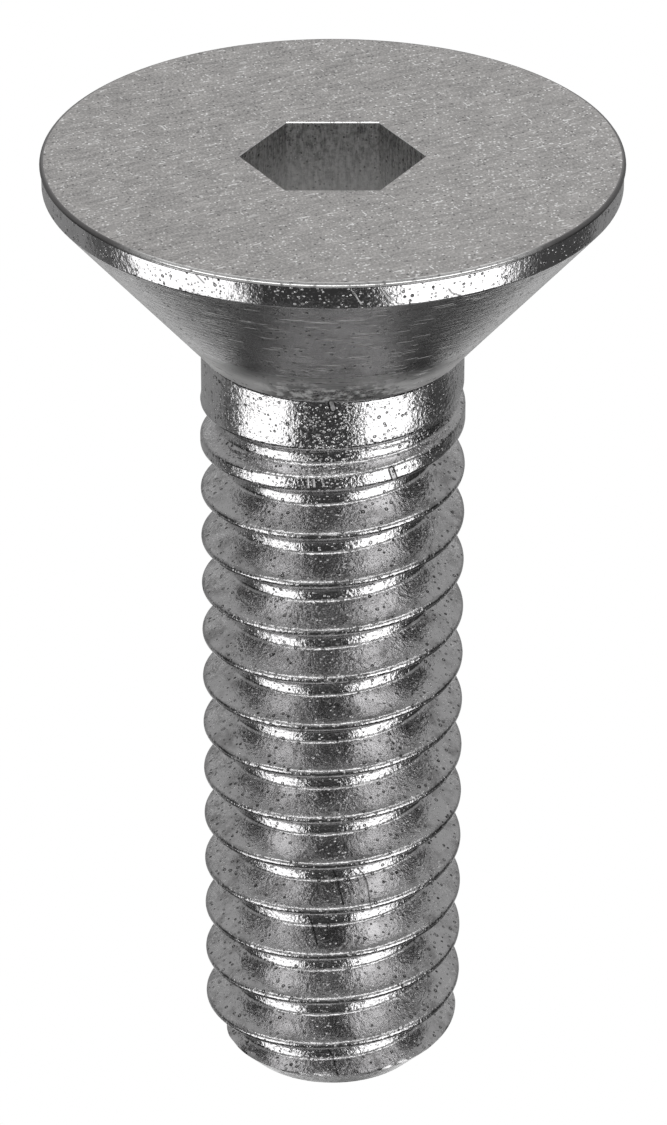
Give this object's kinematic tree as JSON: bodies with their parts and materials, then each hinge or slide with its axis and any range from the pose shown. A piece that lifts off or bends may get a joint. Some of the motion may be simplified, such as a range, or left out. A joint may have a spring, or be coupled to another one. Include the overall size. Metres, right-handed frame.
{
  "type": "countersunk screw",
  "caption": "Countersunk machine screw with a flat head, a hexagon socket and a right-hand thread that fades out into a short plain neck.",
  "frame": {"origin": "centre of the flat face of the head", "axes": "+Z along the screw from the head's face to the tip; two corners of the socket lie on the X axis"},
  "size_m": [0.0134, 0.0134, 0.0238],
  "materials": {
    "bright_steel": "bright rolled steel with a satin face, pitted and finely scratched"
  },
  "bodies": {
    "root": {"countersunk_screw": "bright_steel"}
  },
  "joints": []
}
